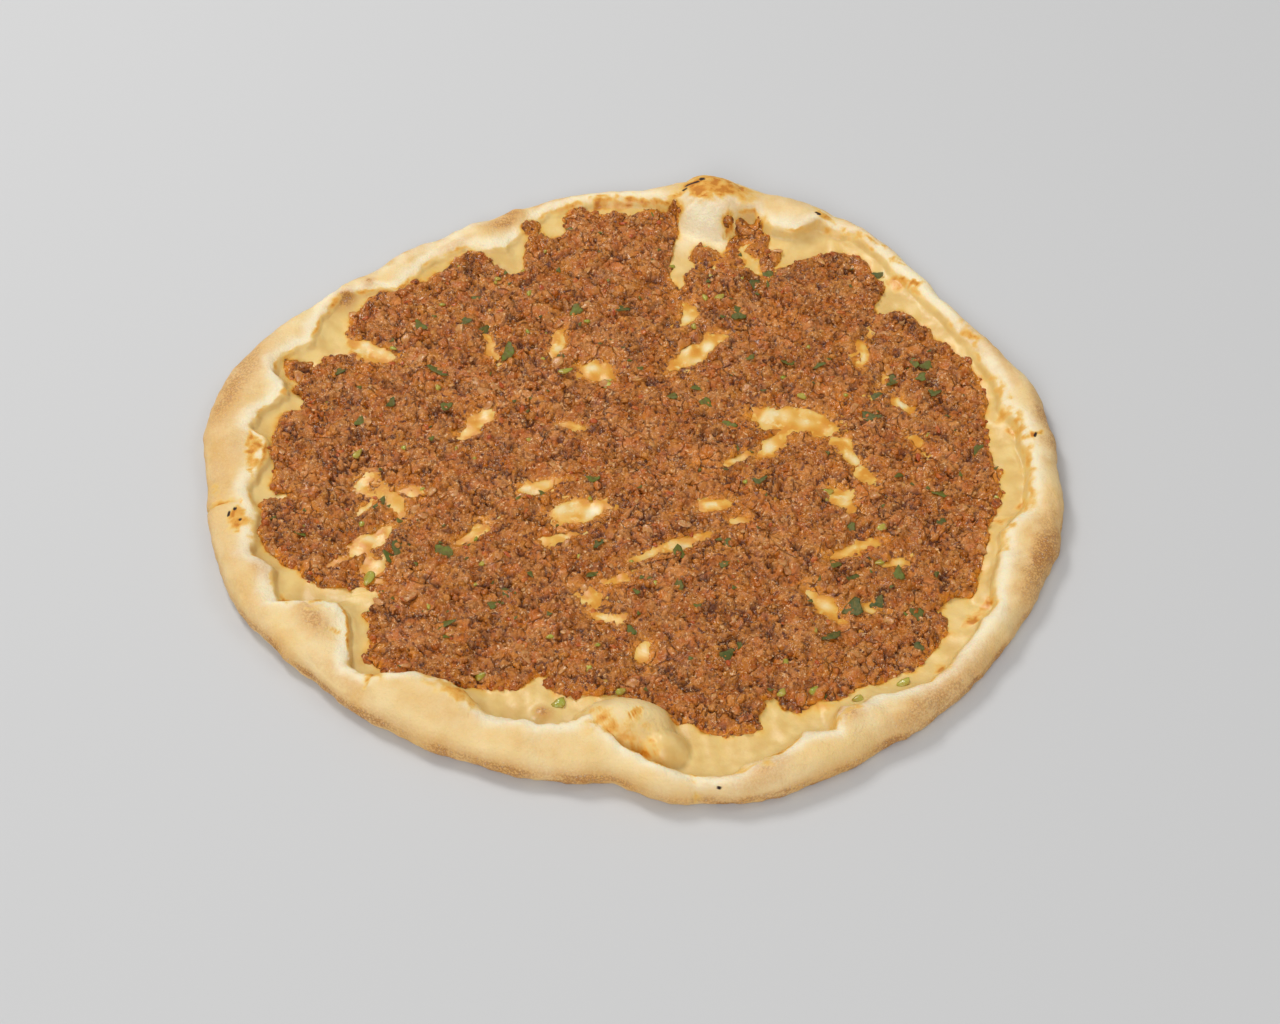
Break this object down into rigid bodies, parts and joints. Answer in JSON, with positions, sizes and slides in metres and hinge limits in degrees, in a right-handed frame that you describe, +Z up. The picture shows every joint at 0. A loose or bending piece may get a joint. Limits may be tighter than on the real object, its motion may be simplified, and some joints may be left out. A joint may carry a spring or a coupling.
{
  "type": "lahmacun",
  "caption": "Thin round lahmacun: a baked flatbread with a folded, puffed crust under a ragged layer of minced meat.",
  "frame": {"origin": "on the table under the middle of the bread's box", "axes": "+Z up from the table, +X across the bread along its longest extent, +Y towards the large bubble in the crust"},
  "size_m": [0.3167, 0.3057, 0.018],
  "materials": {
    "baked_dough": "matte",
    "minced_meat": "satin"
  },
  "bodies": {
    "root": {"dough": "baked_dough", "meat_topping": "minced_meat"}
  },
  "joints": []
}
